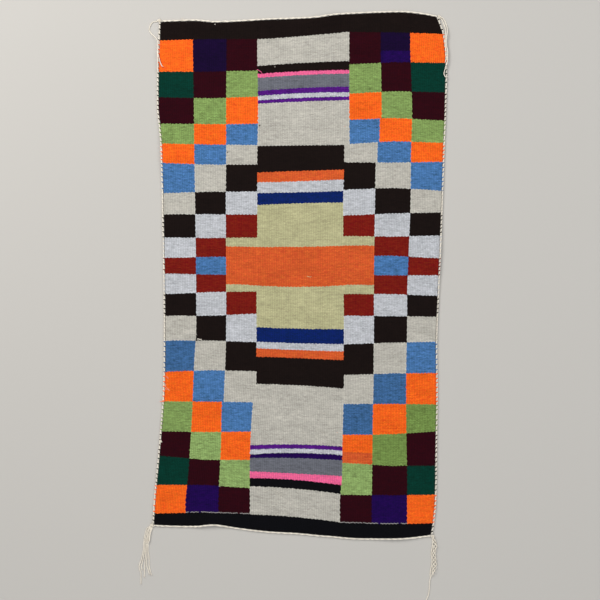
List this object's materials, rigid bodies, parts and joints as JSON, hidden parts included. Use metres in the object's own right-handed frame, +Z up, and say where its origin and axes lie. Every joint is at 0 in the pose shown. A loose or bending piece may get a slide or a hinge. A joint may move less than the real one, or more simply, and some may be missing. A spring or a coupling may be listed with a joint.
{
  "type": "navajo rug",
  "caption": "Flat hand-woven wool rug with checks and stripes, an uneven outline, twisted edge cords and loose knotted cord ends at its corners.",
  "frame": {"origin": "the middle of the cloth's flat underside, on the surface that the rug lies on", "axes": "+Y along the rug towards its head, +X to the right as seen from above, +Z up out of the cloth"},
  "size_m": [0.8346, 1.6231, 0.0085],
  "materials": {
    "woven_wool": "matt weft-faced wool in flat checks and stripes",
    "end_cord": "matt twisted off-white wool",
    "side_cord": "matt wool, a white strand twisted with a coloured one",
    "tassel": "matt twisted off-white wool"
  },
  "bodies": {
    "root": {"weaving": "woven_wool", "end_cord_top": "end_cord", "end_cord_bottom": "end_cord", "side_cord_left": "side_cord", "side_cord_right": "side_cord", "tassel_top_left": "tassel", "tassel_top_right": "tassel", "tassel_bottom_left": "tassel", "tassel_bottom_right": "tassel"}
  },
  "joints": []
}
